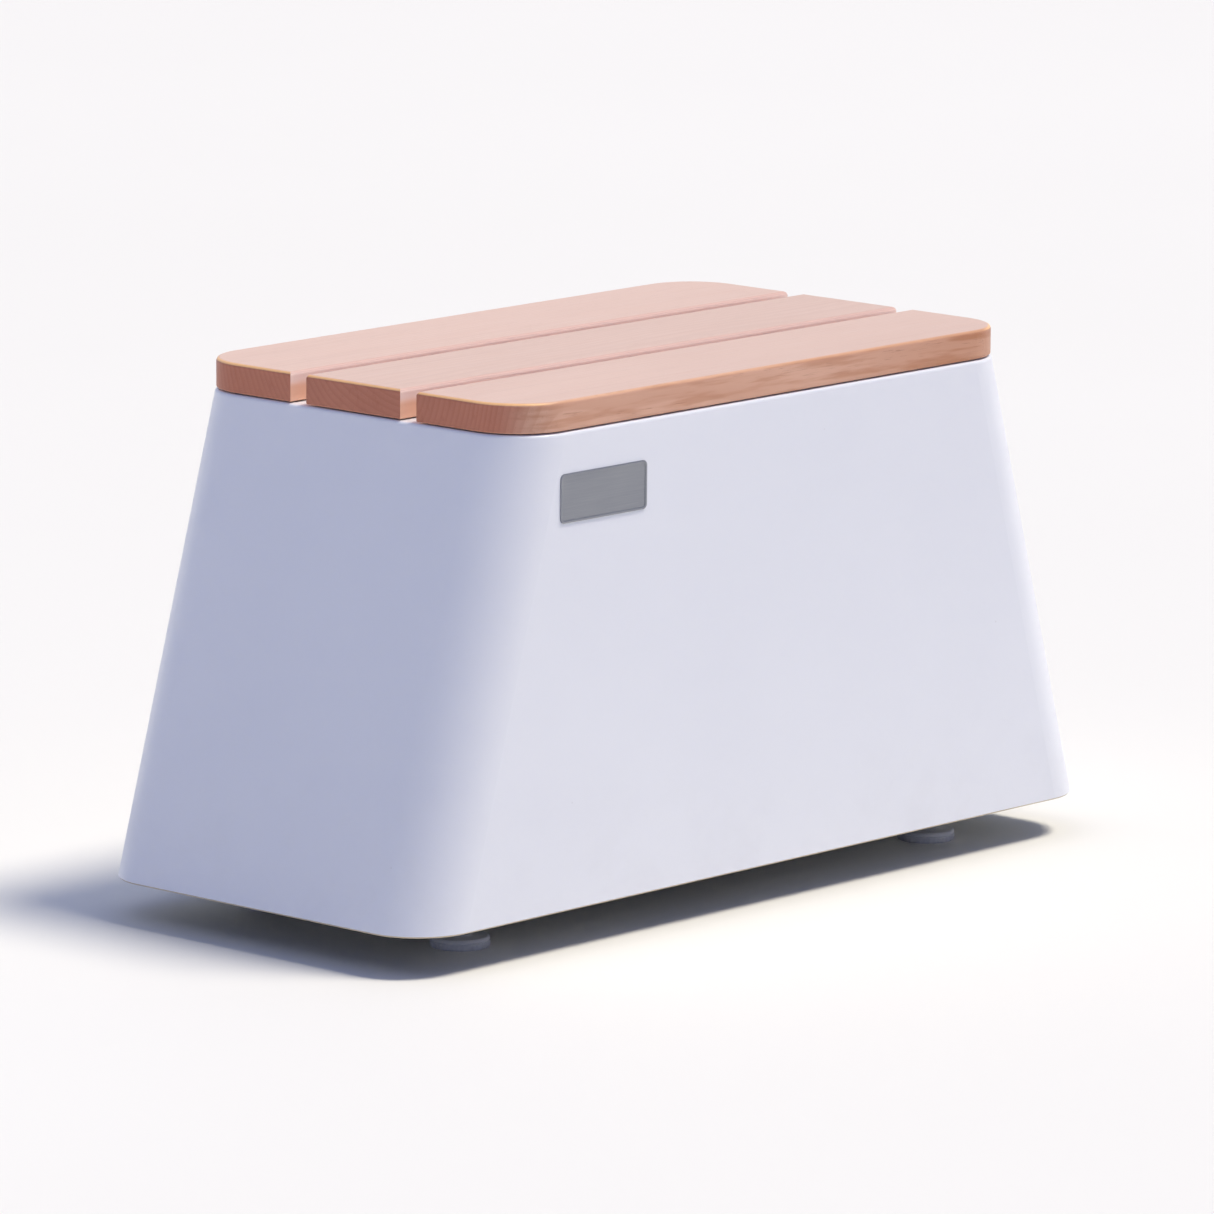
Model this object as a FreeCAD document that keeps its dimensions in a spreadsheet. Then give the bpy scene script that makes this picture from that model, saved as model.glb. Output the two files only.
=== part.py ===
"""Spa steps: a moulded shell over a welded frame, with a slatted wood tread and four levelling feet.

Millimetres. The origin is on the floor under the middle of the step, +X runs along the tread to the
right, +Y to the back, where the spa stands, and +Z up.
"""

import FreeCAD, Part
import math
import os

import Sketcher

doc = FreeCAD.newDocument("SpaSteps")

# ---------------------------------------------------------------- driving dimensions

SIZES = {
    # moulded shell
    "tread_length": 550,
    "tread_depth": 332,
    "base_length": 754,
    "shell_height": 351,
    "shell_wall": 5,
    "shell_corner": 46,
    "shell_top_edge": 3,
    "shell_trim_edge": 1.2,
    "floor_gap": 30,
    "drain_radius": 4,
    "drain_spacing": 90,
    # wood tread
    "slat_thickness": 22,
    "slat_setback": 1,
    "outer_slat_width": 102,
    "slat_gap": 16,
    "slat_top_edge": 3,
    "slat_bottom_edge": 1,
    "strip_thickness": 1,
    "strip_length": 36,
    "strip_setback": 14,
    # tread fixings
    "screw_radius": 2.5,
    "screw_bite": 16,
    "screw_head_radius": 4.75,
    "screw_head_height": 3,
    "screw_socket_radius": 1.7,
    "screw_socket_depth": 1.6,
    "screw_inner_y": 76,
    "screw_outer_y": 108,
    "screw_middle_y": 30,
    "washer_radius": 6.5,
    "washer_thickness": 1,
    "fit_clearance": 0.05,
    # frame
    "tube_side": 30,
    "tube_wall": 2,
    "tube_corner": 2.5,
    "frame_top_length": 480,
    "frame_depth": 300,
    "base_rail_height": 36,
    "cross_rail_x": 260,
    "bar_width": 40,
    "bar_thickness": 5,
    "bar_spacing": 190,
    "plug_rim": 2.5,
    "plug_depth": 14,
    # brackets between shell and frame
    "bracket_x": 120,
    "bracket_width": 40,
    "bracket_height": 45,
    "bracket_reach": 33,
    "bracket_thickness": 3,
    "bracket_screw_radius": 3,
    "bracket_screw_length": 18,
    "bracket_head_radius": 5.25,
    "bracket_head_height": 3.3,
    "rivet_nut_radius": 4.5,
    "rivet_nut_rim": 6.5,
    "rivet_nut_rim_height": 1,
    "rivet_nut_length": 15,
    # levelling feet
    "foot_y": 95,
    "foot_pad_radius": 22,
    "foot_pad_height": 8,
    "foot_pad_edge": 2.5,
    "foot_boss_radius": 9,
    "foot_boss_height": 1,
    "foot_cup_radius": 5.6,
    "foot_cup_floor": 2.5,
    "stud_radius": 5,
    "stud_top": 53,
    "stud_point": 1,
    "stud_pin_radius": 5.5,
    "stud_hex_bottom": 9.5,
    "stud_hex_height": 7,
    "stud_hex_side": 9.8,
    "jam_nut_height": 5,
    "insert_rim_radius": 9,
    "insert_rim_height": 1.5,
    "insert_radius": 6.9,
    "insert_length": 20,
    # blank name plate
    "plate_length": 92,
    "plate_height": 36,
    "plate_thickness": 1,
    "plate_corner": 4,
    "plate_x": -187,
    "plate_z": 333,
}

sheet = doc.addObject("Spreadsheet::Sheet", "Sizes")
for row, (alias, value) in enumerate(SIZES.items(), start=1):
    sheet.set(f"A{row}", alias)
    sheet.set(f"B{row}", str(value))
    sheet.setAlias(f"B{row}", alias)
doc.recompute()

# ---------------------------------------------------------------- derived sizes, as expressions

BATTER = "(Sizes.base_length - Sizes.tread_length) / (2 * Sizes.shell_height)"
SHELL_TOP = "Sizes.floor_gap + Sizes.shell_height"
BAR_TOP = f"{SHELL_TOP} - Sizes.shell_wall"
BAR_BOTTOM = f"{BAR_TOP} - Sizes.bar_thickness"
TOP_RAIL_BOTTOM = f"{BAR_BOTTOM} - Sizes.tube_side"
BASE_RAIL_TOP = "Sizes.base_rail_height + Sizes.tube_side"
LEG_HEIGHT = f"({TOP_RAIL_BOTTOM} - ({BASE_RAIL_TOP}))"
SLAT_BOTTOM = f"{SHELL_TOP} + Sizes.strip_thickness"
RAIL_Y = "(Sizes.frame_depth - Sizes.tube_side) / 2"
BASE_RAIL_LENGTH = f"Sizes.frame_top_length + 2 * {BATTER} * {LEG_HEIGHT}"
CROSS_LENGTH = "Sizes.frame_depth - 2 * Sizes.tube_side"
WOOD_LENGTH = "(Sizes.tread_length - 2 * Sizes.slat_setback)"
WOOD_DEPTH = "(Sizes.tread_depth - 2 * Sizes.slat_setback)"
MIDDLE_SLAT_WIDTH = f"({WOOD_DEPTH} - 2 * Sizes.outer_slat_width - 2 * Sizes.slat_gap)"
OUTER_SLAT_Y = f"({WOOD_DEPTH} - Sizes.outer_slat_width) / 2"
GAP_Y = f"({MIDDLE_SLAT_WIDTH} + Sizes.slat_gap) / 2"
SCREW_HOLE = "Sizes.screw_radius + Sizes.fit_clearance"

LEFT, RIGHT = -1, 1
FRONT, REAR = -1, 1
SIDES = {"left": LEFT, "right": RIGHT}
ROWS = {"front": FRONT, "rear": REAR}
BARS = {"left": LEFT, "centre": 0, "right": RIGHT}


def size(alias):
    """The number in the spreadsheet cell with this alias."""
    return sheet.get(alias)


# ---------------------------------------------------------------- sketch and feature helpers


def new_body(label):
    body = doc.addObject("PartDesign::Body", label)
    body.Label = label
    return body


def place(body, x="0", y="0", z="0", turn=0):
    """Puts a body at x, y, z, turned about the vertical by a fixed angle in degrees."""
    body.Placement = FreeCAD.Placement(FreeCAD.Vector(), FreeCAD.Rotation(FreeCAD.Vector(0, 0, 1), turn))
    for axis, expression in (("x", x), ("y", y), ("z", z)):
        body.setExpression(f"Placement.Base.{axis}", expression)
    return body


def sketch_on(body, plane, offset="0"):
    """An empty sketch on one of the body's origin planes, moved along the plane's normal."""
    sketch = body.newObject("Sketcher::SketchObject", f"{body.Label}_sketch")
    support = next(item for item in body.Origin.OriginFeatures if item.Role == plane)
    sketch.AttachmentSupport = [(support, "")]
    sketch.MapMode = "FlatFace"
    sketch.setExpression("AttachmentOffset.Base.z", offset)
    return sketch


def pin_point(sketch, line, x, y):
    """Holds the start of a line at x, y, both given as expressions."""
    start = sketch.Geometry[line].StartPoint
    for kind, expression, value in (("DistanceX", x, start.x), ("DistanceY", y, start.y)):
        index = sketch.addConstraint(Sketcher.Constraint(kind, -1, 1, line, 1, value))
        sketch.setExpression(f"Constraints[{index}]", expression)


def draw_polygon(sketch, corners):
    """A closed outline of straight lines through corners, in anticlockwise order."""
    first = sketch.GeometryCount
    count = len(corners)
    start_angles = [2 * math.pi * (k + 0.5) / count for k in range(count + 1)]
    start = [FreeCAD.Vector(math.cos(angle), math.sin(angle), 0) for angle in start_angles]
    for k in range(count):
        sketch.addGeometry(Part.LineSegment(start[k], start[k + 1]), False)
    for k in range(count):
        sketch.addConstraint(Sketcher.Constraint("Coincident", first + k, 2, first + (k + 1) % count, 1))
    for k, (x, y) in enumerate(corners):
        pin_point(sketch, first + k, x, y)


def draw_box(sketch, left, right, low, high):
    """A rectangle between two X and two Y values."""
    draw_polygon(sketch, [(left, low), (right, low), (right, high), (left, high)])


def draw_rectangle(sketch, length, width):
    """A rectangle centred on the sketch's origin."""
    draw_box(sketch, f"-({length}) / 2", f"({length}) / 2", f"-({width}) / 2", f"({width}) / 2")


def draw_circle(sketch, radius, x="0", y="0"):
    circle = sketch.addGeometry(Part.Circle(FreeCAD.Vector(1, 1, 0), FreeCAD.Vector(0, 0, 1), 1), False)
    for kind, expression in (("DistanceX", x), ("DistanceY", y)):
        index = sketch.addConstraint(Sketcher.Constraint(kind, -1, 1, circle, 3, 1.0))
        sketch.setExpression(f"Constraints[{index}]", expression)
    index = sketch.addConstraint(Sketcher.Constraint("Radius", circle, 1.0))
    sketch.setExpression(f"Constraints[{index}]", radius)


def draw_hexagon(sketch, side, x="0", y="0"):
    """A hexagon with two corners on the line through its middle along the sketch's X."""
    corners = []
    for k in range(6):
        angle = f"{60 * k} deg"
        corners.append((f"{x} + {side} * cos({angle})", f"{y} + {side} * sin({angle})"))
    draw_polygon(sketch, corners)


def pad(body, sketch, length, both_ways=False):
    feature = body.newObject("PartDesign::Pad", f"{body.Label}_pad")
    feature.Profile = sketch
    feature.Midplane = both_ways
    feature.setExpression("Length", length)
    doc.recompute()
    return feature


def pocket(body, sketch, depth):
    """Cuts the sketch into the body against the sketch's normal, and makes sure that it cuts."""
    before = body.Shape.Volume
    feature = body.newObject("PartDesign::Pocket", f"{body.Label}_pocket")
    feature.Profile = sketch
    feature.setExpression("Length", depth)
    doc.recompute()
    if body.Shape.Volume >= before:
        raise RuntimeError(f"{body.Label}: a pocket cut nothing")
    return feature


def disc(body, radius, bottom, height):
    """A round boss on the body's axis, from bottom up."""
    sketch = sketch_on(body, "XY_Plane", bottom)
    draw_circle(sketch, radius)
    return pad(body, sketch, height)


def bore(body, radius, top, depth, points=(("0", "0"),)):
    """Round holes from the height top downwards, one at each point."""
    sketch = sketch_on(body, "XY_Plane", top)
    for x, y in points:
        draw_circle(sketch, radius, x, y)
    return pocket(body, sketch, depth)


def edges_where(shape, test):
    return [f"Edge{k}" for k, edge in enumerate(shape.Edges, start=1) if test(edge)]


def is_level(edge, height, tolerance=1e-4):
    """True if the whole edge lies in the horizontal plane at this height."""
    points = edge.discretize(5)
    return all(abs(point.z - height) < tolerance for point in points)


def is_upright(edge):
    """True for a straight edge that climbs, plumb or along a battered end."""
    first, last = edge.Vertexes[0].Point, edge.Vertexes[-1].Point
    straight = isinstance(edge.Curve, Part.Line)
    return straight and abs(last.z - first.z) > 1 and abs(last.y - first.y) < 1e-6


def dress(body, kind, base, edges, amount_property, amount):
    """A fillet or chamfer on the named edges of the base feature."""
    feature = body.newObject(f"PartDesign::{kind}", f"{body.Label}_{kind.lower()}")
    feature.Base = (base, edges)
    feature.setExpression(amount_property, amount)
    doc.recompute()
    return feature


def fillet(body, base, edges, radius):
    return dress(body, "Fillet", base, edges, "Radius", radius)


def chamfer(body, base, edges, width):
    return dress(body, "Chamfer", base, edges, "Size", width)


# ---------------------------------------------------------------- where the tread screws go


def screw_points(rows, columns=("-Sizes.bar_spacing", "0", "Sizes.bar_spacing")):
    return [(x, y) for x in columns for y in rows]


FRONT_SCREWS = ("-Sizes.screw_outer_y", "-Sizes.screw_inner_y")
MIDDLE_SCREWS = ("-Sizes.screw_middle_y", "Sizes.screw_middle_y")
REAR_SCREWS = ("Sizes.screw_inner_y", "Sizes.screw_outer_y")
ALL_SCREWS = FRONT_SCREWS + MIDDLE_SCREWS + REAR_SCREWS

# ---------------------------------------------------------------- shell


def build_shell():
    """The moulding: upright front and back, battered ends, closed top with drain holes, open bottom."""
    body = new_body("body_shell")
    sketch = sketch_on(body, "XZ_Plane")
    half_base, half_top = "Sizes.base_length / 2", "Sizes.tread_length / 2"
    corners = [(f"-{half_base}", "0"), (half_base, "0"), (half_top, "Sizes.shell_height"),
               (f"-{half_top}", "Sizes.shell_height")]
    draw_polygon(sketch, corners)
    block = pad(body, sketch, "Sizes.tread_depth", both_ways=True)
    rounded = fillet(body, block, edges_where(block.Shape, is_upright), "Sizes.shell_corner")

    hollow = body.newObject("PartDesign::Thickness", "body_shell_hollow")
    faces = enumerate(rounded.Shape.Faces, start=1)
    bottom = [f"Face{k}" for k, face in faces if face.CenterOfMass.z < 1e-6]
    hollow.Base = (rounded, bottom)
    hollow.Reversed = True
    hollow.setExpression("Value", "Sizes.shell_wall")
    doc.recompute()

    top = edges_where(hollow.Shape, lambda edge: is_level(edge, size("shell_height")))
    eased = fillet(body, hollow, top, "Sizes.shell_top_edge")
    reach = size("tread_depth") / 2 - size("shell_wall") / 2

    def is_outer_trim(edge):
        """The outer of the two outlines round the open bottom."""
        middle = edge.valueAt((edge.FirstParameter + edge.LastParameter) / 2)
        across = size("base_length") / 2 - size("shell_corner")
        along = size("tread_depth") / 2 - size("shell_corner")
        from_corner = math.hypot(max(abs(middle.x) - across, 0), max(abs(middle.y) - along, 0))
        rim = size("shell_corner") - size("shell_wall") / 2
        return is_level(edge, 0) and (abs(middle.y) > reach or from_corner > rim)

    chamfer(body, eased, edges_where(eased.Shape, is_outer_trim), "Sizes.shell_trim_edge")

    bore(body, SCREW_HOLE, "Sizes.shell_height", "2 * Sizes.shell_wall", screw_points(ALL_SCREWS))
    drain_columns = [f"{step} * Sizes.drain_spacing" for step in (-1.5, -0.5, 0.5, 1.5)]
    drains = [(x, f"{row} * {GAP_Y}") for x in drain_columns for row in (FRONT, REAR)]
    bore(body, "Sizes.drain_radius", "Sizes.shell_height", "2 * Sizes.shell_wall", drains)
    return place(body, z="Sizes.floor_gap")


# ---------------------------------------------------------------- wood tread


def build_slat(label, width, centre_y, screws, rounded_row=0):
    """A slat with its top edges eased. rounded_row is the side whose corners follow the shell."""
    body = new_body(label)
    sketch = sketch_on(body, "XY_Plane")
    draw_rectangle(sketch, WOOD_LENGTH, width)
    last = pad(body, sketch, "Sizes.slat_thickness")

    def is_rounded_corner(edge):
        return is_upright(edge) and edge.Vertexes[0].Y * rounded_row > 0

    if rounded_row:
        corners = edges_where(last.Shape, is_rounded_corner)
        last = fillet(body, last, corners, "Sizes.shell_corner - Sizes.slat_setback")
    top = edges_where(last.Shape, lambda edge: is_level(edge, size("slat_thickness")))
    last = fillet(body, last, top, "Sizes.slat_top_edge")
    bottom = edges_where(last.Shape, lambda edge: is_level(edge, 0))
    fillet(body, last, bottom, "Sizes.slat_bottom_edge")

    pilot_rows = [f"{y} - ({centre_y})" for y in screws]
    pilot_top = "Sizes.screw_bite + Sizes.fit_clearance"
    bore(body, SCREW_HOLE, pilot_top, pilot_top, screw_points(pilot_rows))
    return place(body, y=centre_y, z=SLAT_BOTTOM)


def build_slats():
    return [
        build_slat("slat_front", "Sizes.outer_slat_width", f"-{OUTER_SLAT_Y}", FRONT_SCREWS, FRONT),
        build_slat("slat_middle", MIDDLE_SLAT_WIDTH, "0", MIDDLE_SCREWS),
        build_slat("slat_rear", "Sizes.outer_slat_width", OUTER_SLAT_Y, REAR_SCREWS, REAR),
    ]


def build_slat_strips():
    """Rubber strips over the bars, which hold each slat off the shell."""
    body = new_body("slat_strips")
    sketch = sketch_on(body, "XY_Plane")
    rows = (
        (f"-{OUTER_SLAT_Y}", "Sizes.outer_slat_width"),
        ("0", MIDDLE_SLAT_WIDTH),
        (OUTER_SLAT_Y, "Sizes.outer_slat_width"),
    )
    half = "Sizes.strip_length / 2"
    for column in BARS.values():
        x = f"{column} * Sizes.bar_spacing"
        for y, width in rows:
            reach = f"({width} / 2 - Sizes.strip_setback)"
            draw_box(sketch, f"{x} - {half}", f"{x} + {half}", f"{y} - {reach}", f"{y} + {reach}")
    pad(body, sketch, "Sizes.strip_thickness")
    bore(body, SCREW_HOLE, "Sizes.strip_thickness", "Sizes.strip_thickness", screw_points(ALL_SCREWS))
    return place(body, z=SHELL_TOP)


def build_tread_washers():
    body = new_body("tread_washers")
    sketch = sketch_on(body, "XY_Plane")
    for x, y in screw_points(ALL_SCREWS):
        draw_circle(sketch, "Sizes.washer_radius", x, y)
        draw_circle(sketch, SCREW_HOLE, x, y)
    pad(body, sketch, "Sizes.washer_thickness")
    return place(body, z=f"{BAR_BOTTOM} - Sizes.washer_thickness")


def build_tread_screws():
    """Pan-head screws, driven upwards through washer, bar, shell and strip into the wood."""
    body = new_body("tread_screws")
    points = screw_points(ALL_SCREWS)
    head_bottom = "-Sizes.screw_head_height"
    stack = "(Sizes.washer_thickness + Sizes.bar_thickness + Sizes.shell_wall + Sizes.strip_thickness)"
    shank_length = f"{stack} + Sizes.screw_bite"
    heads = sketch_on(body, "XY_Plane", head_bottom)
    shanks = sketch_on(body, "XY_Plane")
    sockets = sketch_on(body, "XY_Plane", f"{head_bottom} + Sizes.screw_socket_depth")
    for x, y in points:
        draw_circle(heads, "Sizes.screw_head_radius", x, y)
        draw_circle(shanks, "Sizes.screw_radius", x, y)
        draw_hexagon(sockets, "Sizes.screw_socket_radius", x, y)
    pad(body, heads, "Sizes.screw_head_height")
    pad(body, shanks, shank_length)
    pocket(body, sockets, "Sizes.screw_socket_depth")
    return place(body, z=f"{BAR_BOTTOM} - Sizes.washer_thickness")


# ---------------------------------------------------------------- frame


def draw_tube_section(sketch, stretch="1"):
    """A square ring. stretch lengthens it and its wall along the sketch's X, for a sloping cut."""
    inside = "(Sizes.tube_side - 2 * Sizes.tube_wall)"
    draw_rectangle(sketch, f"Sizes.tube_side * {stretch}", "Sizes.tube_side")
    draw_rectangle(sketch, f"{inside} * {stretch}", inside)


def round_tube(body, tube):
    """Rounds the four outer edges along a tube."""
    middle = tube.Shape.CenterOfMass
    long_enough = 2 * size("tube_side")
    between = (size("tube_side") - size("tube_wall")) / 2 * math.sqrt(2)

    def is_outer(edge):
        """True for a long edge further from the tube's middle than its bore's corners are."""
        half_way = edge.valueAt((edge.FirstParameter + edge.LastParameter) / 2)
        return edge.Length > long_enough and half_way.distanceToPoint(middle) > between

    fillet(body, tube, edges_where(tube.Shape, is_outer), "Sizes.tube_corner")


def build_rail(label, plane, length):
    """A straight square tube, centred on its own origin."""
    body = new_body(label)
    sketch = sketch_on(body, plane)
    draw_tube_section(sketch)
    round_tube(body, pad(body, sketch, length, both_ways=True))
    return body


def build_long_rails():
    """Top and base rails along the front and the back. The base rails take the bracket screws."""
    bodies = []
    half_side = "Sizes.tube_side / 2"
    for row_name, row in ROWS.items():
        y = f"{row} * {RAIL_Y}"
        top = build_rail(f"frame_top_rail_{row_name}", "YZ_Plane", "Sizes.frame_top_length")
        bodies.append(place(top, y=y, z=f"{TOP_RAIL_BOTTOM} + {half_side}"))
        base = build_rail(f"frame_base_rail_{row_name}", "YZ_Plane", BASE_RAIL_LENGTH)
        seats = [(f"{side} * Sizes.bracket_x", "0") for side in SIDES.values()]
        hole = "Sizes.rivet_nut_radius + Sizes.fit_clearance"
        bore(base, hole, half_side, "2 * Sizes.tube_wall", seats)
        bodies.append(place(base, y=y, z=f"Sizes.base_rail_height + {half_side}"))
    return bodies


def build_end_rails():
    """Tubes from front to back: one at each end of the top, and two in the base that hold the feet."""
    bodies = []
    half_side = "Sizes.tube_side / 2"
    for side_name, side in SIDES.items():
        top = build_rail(f"frame_end_rail_{side_name}", "XZ_Plane", CROSS_LENGTH)
        top_x = f"{side} * (Sizes.frame_top_length - Sizes.tube_side) / 2"
        bodies.append(place(top, x=top_x, z=f"{TOP_RAIL_BOTTOM} + {half_side}"))
        cross = build_rail(f"frame_cross_rail_{side_name}", "XZ_Plane", CROSS_LENGTH)
        seats = [("0", f"{row} * Sizes.foot_y") for row in ROWS.values()]
        hole = "Sizes.insert_radius + Sizes.fit_clearance"
        bore(cross, hole, f"2 * Sizes.tube_wall - {half_side}", "4 * Sizes.tube_wall", seats)
        cross_x = f"{side} * Sizes.cross_rail_x"
        bodies.append(place(cross, x=cross_x, z=f"Sizes.base_rail_height + {half_side}"))
    return bodies


def build_leg(side_name, side, row_name, row):
    """A tube that slopes like the shell's end, cut level at both ends."""
    body = new_body(f"frame_leg_{row_name}_{side_name}")
    sketch = sketch_on(body, "XY_Plane")
    stretch = f"sqrt(1 + ({BATTER}) * ({BATTER}))"
    draw_tube_section(sketch, stretch)
    slope = (size("base_length") - size("tread_length")) / (2 * size("shell_height"))
    leg = pad(body, sketch, LEG_HEIGHT)
    leg.UseCustomVector = True
    leg.Direction = FreeCAD.Vector(-side * slope, 0, 1)
    leg.AlongSketchNormal = True
    doc.recompute()
    round_tube(body, leg)
    foot_x = f"{side} * ({BASE_RAIL_LENGTH} - Sizes.tube_side * {stretch}) / 2"
    return place(body, x=foot_x, y=f"{row} * {RAIL_Y}", z=BASE_RAIL_TOP)


def build_legs():
    return [build_leg(*side, *row) for side in SIDES.items() for row in ROWS.items()]


def build_bars():
    """Flat bars across the top rails, under the shell's top."""
    bodies = []
    for name, column in BARS.items():
        body = new_body(f"tread_bar_{name}")
        sketch = sketch_on(body, "XY_Plane")
        draw_rectangle(sketch, "Sizes.bar_width", "Sizes.frame_depth")
        pad(body, sketch, "Sizes.bar_thickness")
        holes = screw_points(ALL_SCREWS, ("0",))
        bore(body, SCREW_HOLE, "Sizes.bar_thickness", "Sizes.bar_thickness", holes)
        bodies.append(place(body, x=f"{column} * Sizes.bar_spacing", z=BAR_BOTTOM))
    return bodies


def build_plugs(label, rail_length, rail_bottom):
    """Square plugs in both ends of the front and rear rails at one level."""
    body = new_body(label)
    rim = sketch_on(body, "YZ_Plane", f"({rail_length}) / 2")
    stem = sketch_on(body, "YZ_Plane", f"({rail_length}) / 2 - Sizes.plug_depth")
    stem_side = "(Sizes.tube_side - 2 * Sizes.tube_wall - 2 * Sizes.fit_clearance)"
    for row in ROWS.values():
        for sketch, side in ((rim, "Sizes.tube_side"), (stem, stem_side)):
            y = f"{row} * {RAIL_Y}"
            draw_box(sketch, f"{y} - {side} / 2", f"{y} + {side} / 2", f"-{side} / 2", f"{side} / 2")
    pad(body, rim, "Sizes.plug_rim")
    last = pad(body, stem, "Sizes.plug_depth")
    mirror = body.newObject("PartDesign::Mirrored", f"{label}_mirror")
    mirror.Originals = [item for item in body.Group if item.isDerivedFrom("PartDesign::Pad")]
    plane = next(item for item in body.Origin.OriginFeatures if item.Role == "YZ_Plane")
    mirror.MirrorPlane = (plane, [""])
    body.Tip = mirror
    doc.recompute()
    if body.Shape.Volume <= 1.5 * last.Shape.Volume:
        raise RuntimeError(f"{label}: the mirror added nothing")
    return place(body, z=f"{rail_bottom} + Sizes.tube_side / 2")


# ---------------------------------------------------------------- brackets between shell and frame


def build_bracket(side_name, side, row_name, row):
    """An angle: one leaf bonded to the shell's inside, the other screwed down on the base rail."""
    body = new_body(f"shell_bracket_{row_name}_{side_name}")
    sketch = sketch_on(body, "YZ_Plane")
    thick = "Sizes.bracket_thickness"
    reach = "Sizes.bracket_reach"
    corners = [("0", "0"), (reach, "0"), (reach, thick), (thick, thick), (thick, "Sizes.bracket_height"),
               ("0", "Sizes.bracket_height")]
    draw_polygon(sketch, corners)
    angle = pad(body, sketch, "Sizes.bracket_width", both_ways=True)

    def is_bend(edge):
        """The inner edge of the angle, where its two leaves meet."""
        point = edge.valueAt((edge.FirstParameter + edge.LastParameter) / 2)
        inner = size("bracket_thickness")
        return abs(point.x) < 1e-6 and abs(point.y - inner) < 1e-6 and abs(point.z - inner) < 1e-6

    fillet(body, angle, edges_where(angle.Shape, is_bend), "Sizes.bracket_thickness")
    hole_y = f"(Sizes.tread_depth / 2 - Sizes.shell_wall - {RAIL_Y})"
    bore(body, "Sizes.bracket_screw_radius + Sizes.fit_clearance", thick, thick, [("0", hole_y)])
    wall_y = f"{row} * (Sizes.tread_depth / 2 - Sizes.shell_wall)"
    turn = 0 if row == FRONT else 180
    lift = f"{BASE_RAIL_TOP} + Sizes.rivet_nut_rim_height"
    return place(body, x=f"{side} * Sizes.bracket_x", y=wall_y, z=lift, turn=turn)


def bracket_points():
    columns = [f"{side} * Sizes.bracket_x" for side in SIDES.values()]
    return [(x, f"{row} * {RAIL_Y}") for x in columns for row in ROWS.values()]


def build_rivet_nuts():
    body = new_body("bracket_rivet_nuts")
    rims = sketch_on(body, "XY_Plane")
    barrels = sketch_on(body, "XY_Plane", "Sizes.rivet_nut_rim_height - Sizes.rivet_nut_length")
    for x, y in bracket_points():
        draw_circle(rims, "Sizes.rivet_nut_rim", x, y)
        draw_circle(barrels, "Sizes.rivet_nut_radius", x, y)
    pad(body, rims, "Sizes.rivet_nut_rim_height")
    pad(body, barrels, "Sizes.rivet_nut_length")
    thread = "Sizes.bracket_screw_radius + Sizes.fit_clearance"
    bore(body, thread, "Sizes.rivet_nut_rim_height", "Sizes.rivet_nut_length", bracket_points())
    return place(body, z=BASE_RAIL_TOP)


def build_bracket_screws():
    body = new_body("bracket_screws")
    heads = sketch_on(body, "XY_Plane")
    shanks = sketch_on(body, "XY_Plane", "-Sizes.bracket_screw_length")
    sockets = sketch_on(body, "XY_Plane", "Sizes.bracket_head_height")
    for x, y in bracket_points():
        draw_circle(heads, "Sizes.bracket_head_radius", x, y)
        draw_circle(shanks, "Sizes.bracket_screw_radius", x, y)
        draw_hexagon(sockets, "Sizes.bracket_screw_radius / 2", x, y)
    pad(body, heads, "Sizes.bracket_head_height")
    pad(body, shanks, "Sizes.bracket_screw_length")
    pocket(body, sockets, "Sizes.bracket_head_height / 2")
    return place(body, z=f"{BASE_RAIL_TOP} + Sizes.rivet_nut_rim_height + Sizes.bracket_thickness")


# ---------------------------------------------------------------- levelling feet


def build_foot_insert(name, where):
    """The threaded insert in the cross rail, with its rim under the rail."""
    body = new_body(f"foot_insert_{name}")
    disc(body, "Sizes.insert_rim_radius", "-Sizes.insert_rim_height", "Sizes.insert_rim_height")
    disc(body, "Sizes.insert_radius", "0", "Sizes.insert_length")
    depth = "Sizes.insert_length + Sizes.insert_rim_height"
    bore(body, "Sizes.stud_radius + Sizes.fit_clearance", "Sizes.insert_length", depth)
    return place(body, *where, z="Sizes.base_rail_height")


def build_foot_nut(name, where):
    """The jam nut, tight against the insert's rim."""
    body = new_body(f"foot_nut_{name}")
    sketch = sketch_on(body, "XY_Plane")
    draw_hexagon(sketch, "Sizes.stud_hex_side")
    draw_circle(sketch, "Sizes.stud_radius + Sizes.fit_clearance")
    pad(body, sketch, "Sizes.jam_nut_height")
    lift = "Sizes.base_rail_height - Sizes.insert_rim_height - Sizes.jam_nut_height"
    return place(body, *where, z=lift)


def build_foot_stud(name, where):
    """The threaded stud, with a hexagon to turn it by and a pin that swivels in the pad."""
    body = new_body(f"foot_stud_{name}")
    pin_bottom = "Sizes.foot_cup_floor + Sizes.fit_clearance"
    disc(body, "Sizes.stud_pin_radius", pin_bottom, f"Sizes.stud_hex_bottom - ({pin_bottom})")
    sketch = sketch_on(body, "XY_Plane", "Sizes.stud_hex_bottom")
    draw_hexagon(sketch, "Sizes.stud_hex_side")
    pad(body, sketch, "Sizes.stud_hex_height")
    hex_top = "(Sizes.stud_hex_bottom + Sizes.stud_hex_height)"
    shank = disc(body, "Sizes.stud_radius", hex_top, f"Sizes.stud_top - {hex_top}")
    point = edges_where(shank.Shape, lambda edge: is_level(edge, size("stud_top")))
    chamfer(body, shank, point, "Sizes.stud_point")
    return place(body, *where)


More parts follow.
